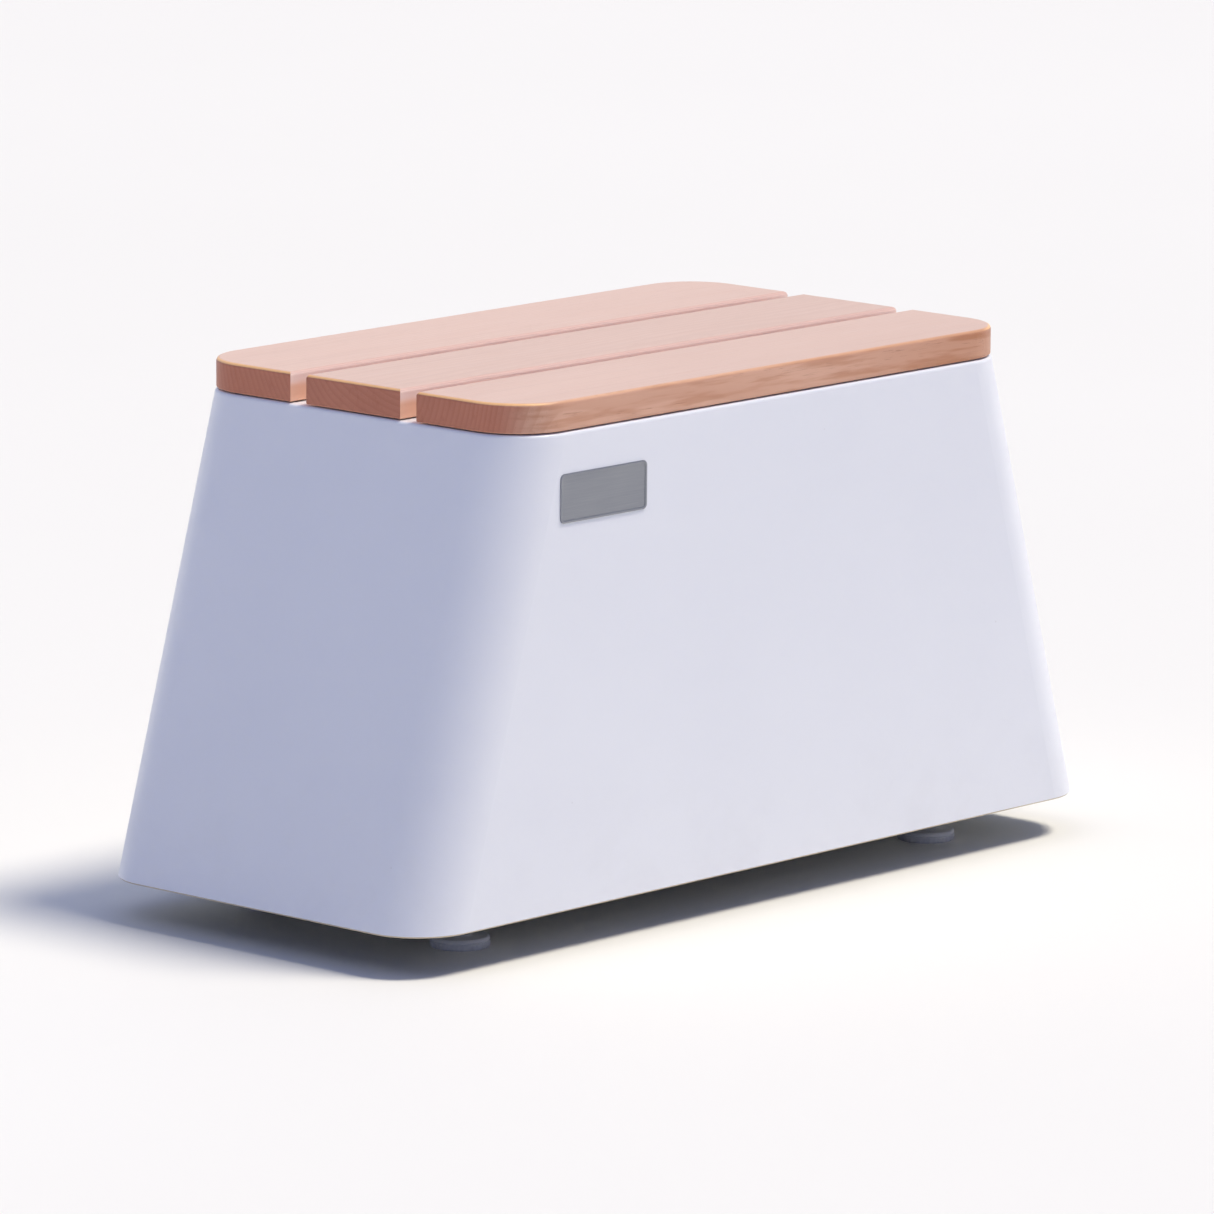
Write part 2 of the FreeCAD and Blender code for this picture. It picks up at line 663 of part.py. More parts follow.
def build_foot_pad(name, where):
    """The round pad that stands on the floor, with a cup for the stud's pin."""
    body = new_body(f"foot_pad_{name}")
    base = disc(body, "Sizes.foot_pad_radius", "0", "Sizes.foot_pad_height")
    rim = edges_where(base.Shape, lambda edge: is_level(edge, size("foot_pad_height")))
    fillet(body, base, rim, "Sizes.foot_pad_edge")
    disc(body, "Sizes.foot_boss_radius", "Sizes.foot_pad_height", "Sizes.foot_boss_height")
    cup_top = "(Sizes.foot_pad_height + Sizes.foot_boss_height)"
    bore(body, "Sizes.foot_cup_radius", cup_top, f"{cup_top} - Sizes.foot_cup_floor")
    return place(body, *where)


def build_feet():
    bodies = []
    for row_name, row in ROWS.items():
        for side_name, side in SIDES.items():
            name = f"{row_name}_{side_name}"
            where = (f"{side} * Sizes.cross_rail_x", f"{row} * Sizes.foot_y")
            for build in (build_foot_insert, build_foot_nut, build_foot_stud, build_foot_pad):
                bodies.append(build(name, where))
    return bodies


# ---------------------------------------------------------------- name plate


def build_name_plate():
    """A blank plate with rounded corners on the front of the shell."""
    body = new_body("name_plate")
    sketch = sketch_on(body, "XZ_Plane")
    draw_rectangle(sketch, "Sizes.plate_length", "Sizes.plate_height")
    plate = pad(body, sketch, "Sizes.plate_thickness")

    def is_corner(edge):
        first, last = edge.Vertexes[0].Point, edge.Vertexes[-1].Point
        return abs(last.y - first.y) > 1e-3

    fillet(body, plate, edges_where(plate.Shape, is_corner), "Sizes.plate_corner")
    return place(body, x="Sizes.plate_x", y="-Sizes.tread_depth / 2", z="Sizes.plate_z")


# ---------------------------------------------------------------- build, check and write


def build_all():
    bodies = [build_shell(), *build_slats(), build_slat_strips()]
    bodies += [build_tread_washers(), build_tread_screws()]
    bodies += build_long_rails() + build_end_rails() + build_legs() + build_bars()
    bodies.append(build_plugs("top_rail_plugs", "Sizes.frame_top_length", TOP_RAIL_BOTTOM))
    bodies.append(build_plugs("base_rail_plugs", BASE_RAIL_LENGTH, "Sizes.base_rail_height"))
    bodies += [build_bracket(*side, *row) for side in SIDES.items() for row in ROWS.items()]
    bodies += [build_rivet_nuts(), build_bracket_screws()]
    bodies += build_feet()
    bodies.append(build_name_plate())
    doc.recompute()
    return bodies


def check_document():
    for item in doc.Objects:
        bad = [state for state in item.State if state in ("Invalid", "Error")]
        if bad:
            raise RuntimeError(f"{item.Label}: {bad}")


def write_parts(bodies):
    os.makedirs("parts", exist_ok=True)
    for body in bodies:
        if body.Shape.isNull() or not body.Shape.isValid():
            raise RuntimeError(f"{body.Label}: its shape is null or not valid")
    for body in bodies:
        body.Shape.exportStep(f"parts/{body.Label}.step")
        box = body.Shape.optimalBoundingBox()
        across = f"{box.XLength:7.1f} {box.YLength:7.1f} {box.ZLength:7.1f}"
        print(f"{body.Label:28s} {across}  solids {len(body.Shape.Solids)}")


all_bodies = build_all()
check_document()
write_parts(all_bodies)
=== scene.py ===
"""Looks for the spa steps: a white moulded step box with a slatted wood tread, on four levelling feet.

Everything is in metres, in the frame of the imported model: +X along the tread, +Y towards the spa, +Z up.
"""

import math

import bpy
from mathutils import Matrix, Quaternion, Vector


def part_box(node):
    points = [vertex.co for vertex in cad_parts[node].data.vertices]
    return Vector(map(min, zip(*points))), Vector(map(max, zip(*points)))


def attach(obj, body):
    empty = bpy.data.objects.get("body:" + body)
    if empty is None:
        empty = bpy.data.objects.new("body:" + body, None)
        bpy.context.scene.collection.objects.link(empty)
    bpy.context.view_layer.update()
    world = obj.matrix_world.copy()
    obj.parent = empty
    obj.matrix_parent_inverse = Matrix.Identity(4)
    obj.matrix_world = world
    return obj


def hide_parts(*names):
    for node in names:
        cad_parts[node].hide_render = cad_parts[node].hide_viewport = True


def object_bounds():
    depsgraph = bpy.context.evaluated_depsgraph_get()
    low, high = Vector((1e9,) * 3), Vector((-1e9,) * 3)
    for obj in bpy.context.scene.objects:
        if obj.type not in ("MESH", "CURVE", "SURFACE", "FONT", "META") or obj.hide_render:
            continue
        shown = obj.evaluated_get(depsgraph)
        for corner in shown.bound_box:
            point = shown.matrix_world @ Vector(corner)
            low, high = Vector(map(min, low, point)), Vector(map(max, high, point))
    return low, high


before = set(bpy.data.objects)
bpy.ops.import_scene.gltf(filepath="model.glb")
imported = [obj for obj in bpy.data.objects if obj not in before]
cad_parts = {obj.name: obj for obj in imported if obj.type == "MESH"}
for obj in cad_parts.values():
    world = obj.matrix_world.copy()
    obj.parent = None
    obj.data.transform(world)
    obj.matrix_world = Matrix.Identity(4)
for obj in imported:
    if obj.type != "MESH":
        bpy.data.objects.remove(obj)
cad_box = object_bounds()

MM = 0.001
STEP = "step"
CORNERS = ("front_left", "front_right", "rear_left", "rear_right")
SLATS = ("slat_front", "slat_middle", "slat_rear")

# ---------------------------------------------------------------- node materials


class Graph:
    """A node tree in the making. Each method adds a node and returns its output."""

    def __init__(self, tree):
        self.nodes = tree.nodes
        self.links = tree.links
        coordinates = self.nodes.new("ShaderNodeTexCoord")
        self.place = coordinates.outputs["Object"]
        self.normal = coordinates.outputs["Normal"]
        self.whole = coordinates.outputs["Generated"]

    def put(self, socket, value):
        """Feeds a socket from another node's output, or sets it to a plain value."""
        if isinstance(value, bpy.types.NodeSocket):
            self.links.new(value, socket)
        elif socket.type == "RGBA":
            socket.default_value = (*value, 1.0)
        else:
            socket.default_value = value

    def node(self, kind, inputs, output=0, **settings):
        """A shader node with these inputs and settings."""
        made = self.nodes.new("ShaderNode" + kind)
        for name, value in settings.items():
            setattr(made, name, value)
        for name, value in inputs.items():
            self.put(made.inputs[name], value)
        return made.outputs[output]

    def calc(self, operation, a, b=0.0):
        """One step of arithmetic on plain numbers."""
        return self.node("Math", {0: a, 1: b}, operation=operation)

    def times(self, a, b):
        return self.calc("MULTIPLY", a, b)

    def plus(self, a, b):
        return self.calc("ADD", a, b)

    def minus(self, a, b):
        return self.calc("SUBTRACT", a, b)

    def unsigned(self, value):
        """The value without its sign."""
        return self.calc("ABSOLUTE", value)

    def dot(self, first, second):
        """The dot product of two vectors."""
        return self.node("VectorMath", {0: first, 1: second}, output="Value", operation="DOT_PRODUCT")

    def split(self, vector):
        """The X, Y and Z of a vector."""
        apart = self.nodes.new("ShaderNodeSeparateXYZ")
        self.put(apart.inputs[0], vector)
        return apart.outputs[0], apart.outputs[1], apart.outputs[2]

    def stretch(self, vector, scale, shift=(0.0, 0.0, 0.0), turn=(0.0, 0.0, 0.0)):
        """The place, moved, turned and scaled along each axis."""
        inputs = {"Vector": vector, "Location": shift, "Rotation": turn, "Scale": scale}
        return self.node("Mapping", inputs)

    def noise(self, vector, scale, detail=3.0, roughness=0.5, warp=0.0):
        """Soft noise about 0.5, with scale lumps to a metre."""
        inputs = {"Vector": vector, "Scale": scale, "Detail": detail, "Roughness": roughness}
        inputs["Distortion"] = warp
        return self.node("TexNoise", inputs)

    def cells(self, vector, scale, output="Distance"):
        """Voronoi cells: the distance from the nearest cell's point, or that cell's random colour."""
        return self.node("TexVoronoi", {"Vector": vector, "Scale": scale}, output=output)

    def span(self, value, low, high, start=0.0, end=1.0):
        """Carries low to start and high to end, smoothly, and holds both ends."""
        inputs = {"Value": value, "From Min": low, "From Max": high, "To Min": start, "To Max": end}
        return self.node("MapRange", inputs, interpolation_type="SMOOTHSTEP")

    def mix(self, share, first, second, blend="MIX"):
        """A colour between two colours."""
        made = self.nodes.new("ShaderNodeMix")
        made.data_type = "RGBA"
        made.blend_type = blend
        self.put(made.inputs[0], share)
        self.put(made.inputs[6], first)
        self.put(made.inputs[7], second)
        return made.outputs[2]

    def bump(self, height, depth, base=None):
        """A bump whose height of 1 stands depth metres proud."""
        inputs = {"Height": height, "Distance": depth, "Strength": 1.0}
        if base is not None:
            inputs["Normal"] = base
        return self.node("Bump", inputs)


class Finish(Graph):
    """The node tree of one material."""

    def __init__(self, name):
        self.material = bpy.data.materials.new(name)
        self.material.use_nodes = True
        super().__init__(self.material.node_tree)

    def done(self, **inputs):
        """Feeds the surface, whose inputs are named with underscores, and gives the material."""
        surface = self.nodes["Principled BSDF"]
        for name, value in inputs.items():
            self.put(surface.inputs[name.replace("_", " ")], value)
        return self.material


def eased_edges(graph):
    """1 on the rounded edges round a flat top, 0 on level and on upright faces."""
    up = graph.split(graph.normal)[2]
    return graph.times(graph.span(up, 0.30, 0.60), graph.span(up, 0.995, 0.94))


def specks(graph, per_metre, size, share):
    """Small scattered dots, in this share of the cells, each up to size of its cell."""
    distance = graph.cells(graph.place, per_metre)
    chosen = graph.split(graph.cells(graph.place, per_metre, output="Color"))[0]
    dot = graph.span(distance, size, 0.4 * size)
    return graph.times(dot, graph.calc("LESS_THAN", chosen, share))


# ---------------------------------------------------------------- the shell


def gelcoat_face(graph):
    """White gelcoat: colour, roughness and height."""
    cloud = graph.noise(graph.place, 5.0, 4.0)
    above_floor = graph.split(graph.place)[2]
    low = graph.span(above_floor, 0.16, 0.03)
    patches = graph.span(graph.noise(graph.place, 26.0, 6.0, 0.65), 0.42, 0.72)
    dust = graph.times(low, patches)
    white = graph.mix(cloud, (0.78, 0.79, 0.83), (0.83, 0.84, 0.87))
    dusty = graph.mix(graph.times(dust, 0.05), white, (0.50, 0.46, 0.42))
    dirt = specks(graph, 55.0, 0.060, 0.04)
    colour = graph.mix(graph.times(dirt, 0.22), dusty, (0.34, 0.30, 0.27))

    smear = graph.noise(graph.stretch(graph.place, (3.0, 3.0, 14.0)), 3.0, 5.0, 0.6)
    roughness = graph.plus(graph.span(smear, 0.3, 0.7, 0.30, 0.40), graph.times(dust, 0.2))

    waves = graph.noise(graph.place, 4.5, 1.0)
    peel = graph.noise(graph.place, 420.0, 2.0)
    height = graph.plus(waves, graph.times(peel, 0.012))
    return colour, roughness, height


def strands(graph, turn):
    """Glass strands laid one way, as thin bright lines."""
    across = graph.stretch(graph.place, (30.0, 900.0, 260.0), turn=(0.4 * turn, 0.7 * turn, turn))
    return graph.span(graph.noise(across, 1.0, 2.0, 0.4, 0.6), 0.58, 0.66)


def laminate_face(graph):
    """The raw inside of the moulding: chopped glass strands in resin."""
    lines = strands(graph, 0.3)
    for turn in (1.1, 2.0, 2.8):
        lines = graph.calc("MAXIMUM", lines, strands(graph, turn))
    cloud = graph.noise(graph.place, 9.0, 4.0)
    resin = graph.mix(cloud, (0.50, 0.48, 0.40), (0.58, 0.565, 0.48))
    colour = graph.mix(graph.times(lines, 0.34), resin, (0.74, 0.73, 0.67))
    roughness = graph.span(cloud, 0.3, 0.7, 0.42, 0.62)
    height = graph.plus(graph.times(lines, 0.35), graph.noise(graph.place, 70.0, 4.0))
    return colour, roughness, height


def shell_material(middle):
    """Gelcoat outside, laminate inside and a trimmed tan edge at the bottom."""
    graph = Finish("gelcoat_shell")
    outside_colour, outside_rough, outside_height = gelcoat_face(graph)
    inside_colour, inside_rough, inside_height = laminate_face(graph)
    from_middle = graph.node("VectorMath", {0: graph.place, 1: tuple(middle)}, operation="SUBTRACT")
    outside = graph.calc("GREATER_THAN", graph.dot(graph.normal, from_middle), 0.0)
    facing_up = graph.split(graph.normal)[2]
    trimmed = graph.calc("LESS_THAN", facing_up, -0.5)

    bare_edge = graph.noise(graph.place, 160.0, 5.0, 0.7)
    edge_colour = graph.mix(bare_edge, (0.50, 0.42, 0.30), (0.66, 0.57, 0.43))
    colour = graph.mix(trimmed, graph.mix(outside, inside_colour, outside_colour), edge_colour)
    bare = graph.calc("MAXIMUM", trimmed, graph.minus(1.0, outside))
    roughness = graph.node("Mix", {0: bare, 2: outside_rough, 3: inside_rough})
    inside_bump = graph.bump(graph.times(inside_height, bare), 0.5 * MM)
    normal = graph.bump(graph.times(outside_height, outside), 0.5 * MM, inside_bump)
    coat = {"Coat_Weight": 0.15, "Coat_Roughness": 0.2}
    return graph.done(Base_Color=colour, Roughness=roughness, Normal=normal, **coat)


# ---------------------------------------------------------------- the wood

PALE = (0.70, 0.40, 0.275)
WARM = (0.52, 0.235, 0.130)
BROWN = (0.34, 0.140, 0.075)
AMBER = (0.47, 0.185, 0.080)
# Painted highlights on the eased edges: along the slats, and brighter on the ends.
EDGE_HIGHLIGHT = (0.78, 0.42, 0.20)
END_EDGE_HIGHLIGHT = (1.0, 0.58, 0.24)
# Paler top: bleached wood with a painted sheen.
BLEACH_AND_SHEEN = (0.80, 0.66, 0.56)
# A duller painted highlight on the edges beside the gaps.
GAP_EDGE_HIGHLIGHT = (0.70, 0.45, 0.37)
# Painted light on the walls of the gaps between slats, near the top and lower down.
GAP_WALL_LIGHT_HIGH = (1.0, 0.76, 0.66)
GAP_WALL_LIGHT_LOW = (0.86, 0.50, 0.34)
# Dark ends: end grain, with painted shade.
END_GRAIN_AND_SHADE = (0.74, 0.485, 0.42)
RING_WIDTH = 4.6 * MM
FIGURE_SLANT = math.radians(22)


def toned(colour, tone):
    """The colour, made lighter or darker."""
    return tuple(tone * part for part in colour)


def ring_phase(graph, seed, shift):
    """How far a place is through its year's ring, 0 to 1. The tree's heart lay just above the slat."""
    _, y, z = graph.split(graph.place)
    slow = graph.noise(graph.stretch(graph.place, (1.6, 7.0, 7.0), shift), 1.0, 2.0)
    drift = graph.noise(graph.stretch(graph.place, (2.4, 3.0, 3.0), shift), 1.0, 1.0)
    heart_y = 0.05 * math.sin(2.1 * seed)
    heart_z = 0.47 + 0.03 * math.cos(3.3 * seed)
    side = graph.plus(graph.minus(y, heart_y), graph.times(drift, 0.05))
    up = graph.minus(z, heart_z)
    radius = graph.calc("SQRT", graph.plus(graph.times(side, side), graph.times(up, up)))
    rings = graph.plus(graph.times(radius, 1 / RING_WIDTH), graph.times(slow, 9.0))
    return graph.calc("FRACT", rings)


def planed_wood(graph, seed, shift, tone):
    """Freshly planed wood: its colour, its relief and its fibre."""
    phase = ring_phase(graph, seed, shift)
    late_wood = graph.times(graph.span(phase, 0.25, 0.88), graph.span(phase, 1.0, 0.90))
    fibre = graph.noise(graph.stretch(graph.place, (14.0, 900.0, 900.0), shift), 1.0, 3.0, 0.6)
    streak = graph.noise(graph.stretch(graph.place, (2.5, 130.0, 90.0), shift), 1.0, 4.0, 0.65)
    blotch = graph.noise(graph.stretch(graph.place, (4.0, 12.0, 12.0), shift), 1.0, 3.0)
    pore_field = graph.noise(graph.stretch(graph.place, (60.0, 1500.0, 1500.0), shift), 1.0, 1.0)
    pores = graph.times(graph.span(pore_field, 0.62, 0.72), graph.span(phase, 0.75, 0.05))

    pale, warm = toned(PALE, tone), toned(WARM, tone)
    colour = graph.mix(graph.times(late_wood, 0.34), pale, warm)
    colour = graph.mix(graph.times(graph.span(streak, 0.52, 0.74), 0.45), colour, warm)
    colour = graph.mix(graph.times(graph.span(blotch, 0.35, 0.75), 0.30), colour, warm)
    colour = graph.mix(graph.times(graph.span(fibre, 0.35, 0.70), 0.22), colour, pale)
    colour = graph.mix(graph.times(pores, 0.45), colour, toned(BROWN, tone))

    relief = graph.plus(graph.times(fibre, 0.5), graph.times(late_wood, 0.35))
    relief = graph.minus(relief, graph.times(pores, 0.9))
    return colour, relief, fibre


def wood_material(name, seed, tone):
    """Oiled pinkish hardwood: figured sides, dark ends from end grain and painted shade, a top made pale
    by bleaching and a painted sheen, honey-coloured painted highlights on the edges and painted light on
    the gap walls.
    """
    graph = Finish(name)
    shift = (0.37 * seed, 0.11 * seed, 0.23 * seed)
    planed, relief, fibre = planed_wood(graph, seed, shift, tone)
    x, y, z = graph.split(graph.place)
    facing_x, facing_y, facing_z = graph.split(graph.normal)
    endways = graph.unsigned(facing_x)
    side_face = graph.span(graph.unsigned(facing_y), 0.4, 0.8)
    in_middle = graph.span(graph.unsigned(y), 0.12, 0.08)
    near_gap = graph.times(in_middle, graph.span(endways, 0.5, 0.3))

    slanting = graph.stretch(graph.place, (13.0, 20.0, 150.0), shift, (0.0, FIGURE_SLANT, 0.0))
    figure = graph.span(graph.noise(slanting, 1.0, 3.0, 0.55), 0.46, 0.66)
    figure = graph.plus(graph.times(figure, 0.50), graph.span(x, 0.02, 0.24, 0.0, 0.45))
    colour = graph.mix(graph.times(side_face, figure), planed, toned(AMBER, tone))
    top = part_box("slat_middle")[1].z
    # Painted light: the walls of the gaps between slats are painted lighter, most near the top, to lift
    # their shade.
    gap_wall_painted_light = graph.mix(graph.span(z, top - 12 * MM, top - 6 * MM), GAP_WALL_LIGHT_LOW, GAP_WALL_LIGHT_HIGH)
    colour = graph.mix(graph.times(graph.times(side_face, near_gap), 0.85), colour, gap_wall_painted_light)
    # The top faces are painted paler: partly bleached wood, partly a painted sheen.
    top_face = graph.span(facing_z, 0.85, 0.99)
    colour = graph.mix(graph.times(top_face, 0.42), colour, toned(BLEACH_AND_SHEEN, tone))
    # The ends are darker: end grain, and painted shade where the end faces turn from the light.
    end_grain_and_shade = graph.span(endways, 0.50, 0.97)
    colour = graph.mix(end_grain_and_shade, colour, graph.mix(1.0, planed, END_GRAIN_AND_SHADE, "MULTIPLY"))

    # Painted highlights: honey-coloured on the eased edges, brightest on the ends, duller next to the
    # gaps.
    edge_highlight = graph.mix(graph.span(endways, 0.10, 0.35), toned(EDGE_HIGHLIGHT, tone), END_EDGE_HIGHLIGHT)
    edge_highlight = graph.mix(near_gap, edge_highlight, GAP_EDGE_HIGHLIGHT)
    highlight_share = graph.plus(graph.span(endways, 0.10, 0.35, 0.36, 0.85), graph.times(near_gap, 0.45))
    colour = graph.mix(graph.times(eased_edges(graph), highlight_share), colour, edge_highlight)

    roughness = graph.plus(graph.span(fibre, 0.3, 0.7, 0.40, 0.52), graph.times(end_grain_and_shade, 0.18))
    normal = graph.bump(relief, 0.10 * MM)
    return graph.done(Base_Color=colour, Roughness=roughness, Normal=normal, Sheen_Weight=0.06)


# ---------------------------------------------------------------- rubber, plastic and metal


def rubber_material():
    """Black EPDM with a pale bloom."""
    graph = Finish("strip_rubber")
    bloom = graph.noise(graph.place, 60.0, 5.0, 0.7)
    grain = graph.noise(graph.place, 1800.0, 2.0)
    colour = graph.mix(graph.span(bloom, 0.45, 0.8), (0.014, 0.014, 0.015), (0.055, 0.055, 0.058))
    roughness = graph.span(bloom, 0.3, 0.7, 0.66, 0.82)
    return graph.done(Base_Color=colour, Roughness=roughness, Normal=graph.bump(grain, 0.06 * MM))


def plug_material():
    """Black moulded polyethylene with spark-eroded grain."""
    graph = Finish("plug_plastic")
    grain = graph.noise(graph.place, 1400.0, 3.0, 0.6)
    rub = graph.noise(graph.place, 80.0, 4.0, 0.6)
    colour = graph.mix(graph.span(rub, 0.5, 0.8), (0.018, 0.018, 0.019), (0.040, 0.040, 0.042))
    roughness = graph.span(rub, 0.3, 0.7, 0.48, 0.62)
    return graph.done(Base_Color=colour, Roughness=roughness, Normal=graph.bump(grain, 0.08 * MM))


def resin_material():
    """Cured polyester resin, cloudy and straw-coloured."""
    graph = Finish("bonding_resin")
    cloud = graph.noise(graph.place, 120.0, 4.0, 0.6)
    lumps = graph.noise(graph.place, 400.0, 3.0)
    colour = graph.mix(cloud, (0.50, 0.44, 0.27), (0.64, 0.58, 0.40))
    roughness = graph.span(lumps, 0.3, 0.7, 0.28, 0.44)
    return graph.done(Base_Color=colour, Roughness=roughness, Normal=graph.bump(lumps, 0.15 * MM))


def pad_material():
    """Pale glass-filled nylon: flow marks, faint grain and dust near the floor."""
    graph = Finish("pad_nylon")
    flow = graph.noise(graph.stretch(graph.place, (90.0, 90.0, 40.0)), 1.0, 3.0, 0.6, 1.0)
    grain = graph.noise(graph.place, 1500.0, 2.0)
    above_floor = graph.split(graph.place)[2]
    dust = graph.times(graph.span(above_floor, 5 * MM, 0.0), graph.span(flow, 0.35, 0.65))
    clean = graph.mix(flow, (0.56, 0.56, 0.57), (0.66, 0.66, 0.66))
    colour = graph.mix(graph.times(dust, 0.5), clean, (0.40, 0.37, 0.33))
    roughness = graph.plus(graph.span(flow, 0.3, 0.7, 0.42, 0.55), graph.times(dust, 0.2))
    return graph.done(Base_Color=colour, Roughness=roughness, Normal=graph.bump(grain, 0.05 * MM))


def galvanised_material():
    """Hot-dip zinc: frost-like spangles of differing brightness, and dull white patches."""
    graph = Finish("frame_galvanised")
    wobble = graph.node("TexNoise", {"Vector": graph.place, "Scale": 40.0}, output="Color")
    nudge = graph.node("VectorMath", {0: wobble, "Scale": 6 * MM}, operation="SCALE")
    bent = graph.node("VectorMath", {0: graph.place, 1: nudge}, operation="ADD")
    spangle = graph.split(graph.cells(bent, 110.0, output="Color"))[0]
    frost = graph.noise(graph.place, 900.0, 4.0, 0.7)
    dull = graph.span(graph.noise(graph.place, 14.0, 5.0, 0.6), 0.48, 0.72)
    bright = graph.mix(spangle, (0.50, 0.51, 0.52), (0.64, 0.65, 0.66))
    colour = graph.mix(graph.times(dull, 0.4), bright, (0.60, 0.61, 0.60))
    roughness = graph.plus(graph.span(spangle, 0.0, 1.0, 0.42, 0.52), graph.times(dull, 0.10))
    metallic = graph.span(dull, 0.0, 1.0, 0.90, 0.76)
    relief = graph.plus(graph.times(spangle, 0.25), graph.times(frost, 0.3))
    normal = graph.bump(relief, 0.10 * MM)
    return graph.done(Base_Color=colour, Metallic=metallic, Roughness=roughness, Normal=normal)


def worked_metal(name, dark, light, lines, roughness):
    """Metal with fine tool marks: lines is the scale of the marks along each axis."""
    graph = Finish(name)
    marks = graph.noise(graph.stretch(graph.place, lines), 1.0, 3.0, 0.7)
    cloud = graph.noise(graph.place, 45.0, 4.0, 0.6)
    scratch_field = graph.stretch(graph.place, (40.0, 1100.0, 300.0), turn=(0.5, 0.9, 0.7))
    scratches = graph.span(graph.noise(scratch_field, 1.0, 2.0), 0.66, 0.72)
    colour = graph.mix(graph.plus(graph.times(marks, 0.6), graph.times(cloud, 0.4)), dark, light)
    worn = graph.mix(graph.times(scratches, 0.5), colour, toned(light, 1.25))
    dull = graph.span(cloud, 0.3, 0.7, roughness, roughness + 0.14)
    relief = graph.minus(marks, graph.times(scratches, 0.6))
    normal = graph.bump(relief, 0.02 * MM)
    return graph.done(Base_Color=worn, Metallic=1.0, Roughness=dull, Normal=normal)


def plate_material():
    """Satin grey anodised plate, brushed along its length."""
    graph = Finish("plate_satin")
    brushed = graph.noise(graph.stretch(graph.place, (30.0, 400.0, 2600.0)), 1.0, 3.0, 0.7)
    cloud = graph.noise(graph.place, 24.0, 3.0)
    colour = graph.mix(brushed, (0.25, 0.26, 0.28), (0.34, 0.35, 0.37))
    roughness = graph.span(cloud, 0.3, 0.7, 0.30, 0.42)
    normal = graph.bump(brushed, 0.02 * MM)
    return graph.done(Base_Color=colour, Metallic=0.75, Roughness=roughness, Normal=normal)


def floor_material():
    """Pale, slightly warm studio paper."""
    graph = Finish("studio_floor")
    cloud = graph.noise(graph.place, 0.6, 3.0)
    colour = graph.mix(cloud, (0.83, 0.81, 0.745), (0.86, 0.84, 0.775))
    return graph.done(Base_Color=colour, Roughness=0.7)


# ---------------------------------------------------------------- meshes made of rings

SEGMENTS = 72


def circle(radius):
    """A circle's distance from its centre, the same at every angle."""
    return lambda angle: radius


def hexagon(side):
    """A hexagon's distance from its centre at each angle, with a corner on +X."""
    flat = side * math.cos(math.radians(30))
    return lambda angle: flat / math.cos(angle % math.radians(60) - math.radians(30))


def smaller(first, second):
    """What is inside both outlines."""
    return lambda angle: min(first(angle), second(angle))


def ring(outline, height, segments=SEGMENTS):
    """Points round the Z axis at this height, as far out as the outline says."""
    points = []
    for k in range(segments):
        angle = 2 * math.pi * k / segments
        radius = outline(angle)
        points.append(Vector((radius * math.cos(angle), radius * math.sin(angle), height)))
    return points


def lathed(profile, segments=SEGMENTS):
    """Round rings, one for each radius and height of a profile."""
    return [ring(circle(radius), height, segments) for radius, height in profile]


def skin(rings, loop=False):
    """Points and faces of a closed surface through rings of equal count.

    The first and last rings are capped, or with loop joined to each other.
    """
    count = len(rings[0])
    points = [point for level in rings for point in level]
    faces = []
    levels = len(rings)
    for row in range(levels if loop else levels - 1):
        low = row * count
        high = (row + 1) % levels * count
        for k in range(count):
            following = (k + 1) % count
            faces.append((low + k, low + following, high + following, high + k))
    if not loop:
        faces.append(tuple(reversed(range(count))))
        faces.append(tuple((levels - 1) * count + k for k in range(count)))
    return points, faces


def moved(shape, shift):
    """The shape, carried along by shift."""
    points, faces = shape
    return [point + Vector(shift) for point in points], faces


def new_piece(name, shapes, material, body, replaced, sharp=32.0):
    """One object from closed surfaces, which rides on a body and stands for CAD nodes."""
    points, faces = [], []
    for shape_points, shape_faces in shapes:
        start = len(points)
        points += shape_points
        faces += [tuple(start + k for k in face) for face in shape_faces]
    mesh = bpy.data.meshes.new(name)
    mesh.from_pydata(points, [], faces)
    mesh.validate()
    mesh.shade_smooth()
    mesh.set_sharp_from_angle(angle=math.radians(sharp))
    mesh.materials.append(material)
    piece = bpy.data.objects.new(name, mesh)
    bpy.context.scene.collection.objects.link(piece)
    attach(piece, body)
    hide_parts(*replaced)
    return piece


def thread_rings(major, pitch, low, high, steps=6):
    """A screw thread as a stack of rings, each a little out of round where the ridge passes it."""
    depth = 0.61 * pitch
    rings = []
    levels = int(round((high - low) / pitch * steps))
    for level in range(levels + 1):
        height = low + (high - low) * level / levels
        start = height / pitch

        def outline(angle, start=start):
            phase = (start - angle / (2 * math.pi)) % 1.0
            ridge = min(1.0, 1.25 * abs(2 * phase - 1))
            return major - depth * (1 - ridge)

        rings.append(ring(outline, height))
    return rings


def nut_rings(side, low, high, chamfer):
    """The outside of a hexagon nut, its corners turned off at both faces."""
    steps = 4
    turned_off = 1.6 * chamfer
    shares = [k / steps for k in range(steps + 1)]
    levels = [(share, low + chamfer * share) for share in shares]
    levels += [(share, high - chamfer * share) for share in reversed(shares)]
    rings = []
    for share, height in levels:
        cone = circle(side - turned_off * (1 - share))
        rings.append(ring(smaller(hexagon(side), cone), height))
    return rings


# ---------------------------------------------------------------- levelling feet

THREAD_PITCH = 1.5 * MM
THREAD_RADIUS = 5.0 * MM
NUT_CHAMFER = 0.8 * MM
SPANNER_LOW = 9.5 * MM
SPANNER_HIGH = 16.5 * MM
PIN_RADIUS = 5.5 * MM
CUP_RADIUS = 5.6 * MM
COLLAR_RADIUS = 9.0 * MM
SKIRT_HEIGHT = 8.0 * MM
SKIRT_RIM = 2.3 * MM
SKIRT_RIBS = 36
RIB_DEPTH = 0.45 * MM
PAD_SEGMENTS = 2 * SEGMENTS


